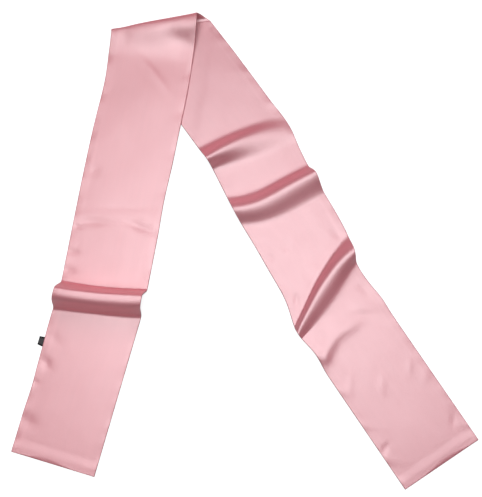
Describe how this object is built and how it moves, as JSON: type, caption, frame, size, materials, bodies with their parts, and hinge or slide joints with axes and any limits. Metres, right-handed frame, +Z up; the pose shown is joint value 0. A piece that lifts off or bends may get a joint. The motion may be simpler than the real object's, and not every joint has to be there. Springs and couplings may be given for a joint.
{
  "type": "skinny scarf",
  "caption": "Long narrow satin scarf, a flat seamed tube of cloth, folded over once and laid on a table in an upside-down V with soft cross folds.",
  "frame": {"origin": "on the table, in the middle of the laid scarf's outline", "axes": "+Z up from the table, +Y towards the folded end of the upside-down V, +X towards the lower leg's free end"},
  "size_m": [0.6756, 0.6912, 0.0274],
  "materials": {
    "satin_front": "pale pink polyester satin with a soft sheen",
    "satin_back": "pale pink polyester satin with a soft sheen",
    "tab_cloth": "black woven ribbon, matte"
  },
  "bodies": {
    "root": {"front_panel_lower_leg": "satin_front", "back_panel_lower_leg": "satin_back", "back_panel_upper_leg": "satin_back", "front_panel_upper_leg": "satin_front", "side_tab": "tab_cloth"}
  },
  "joints": []
}
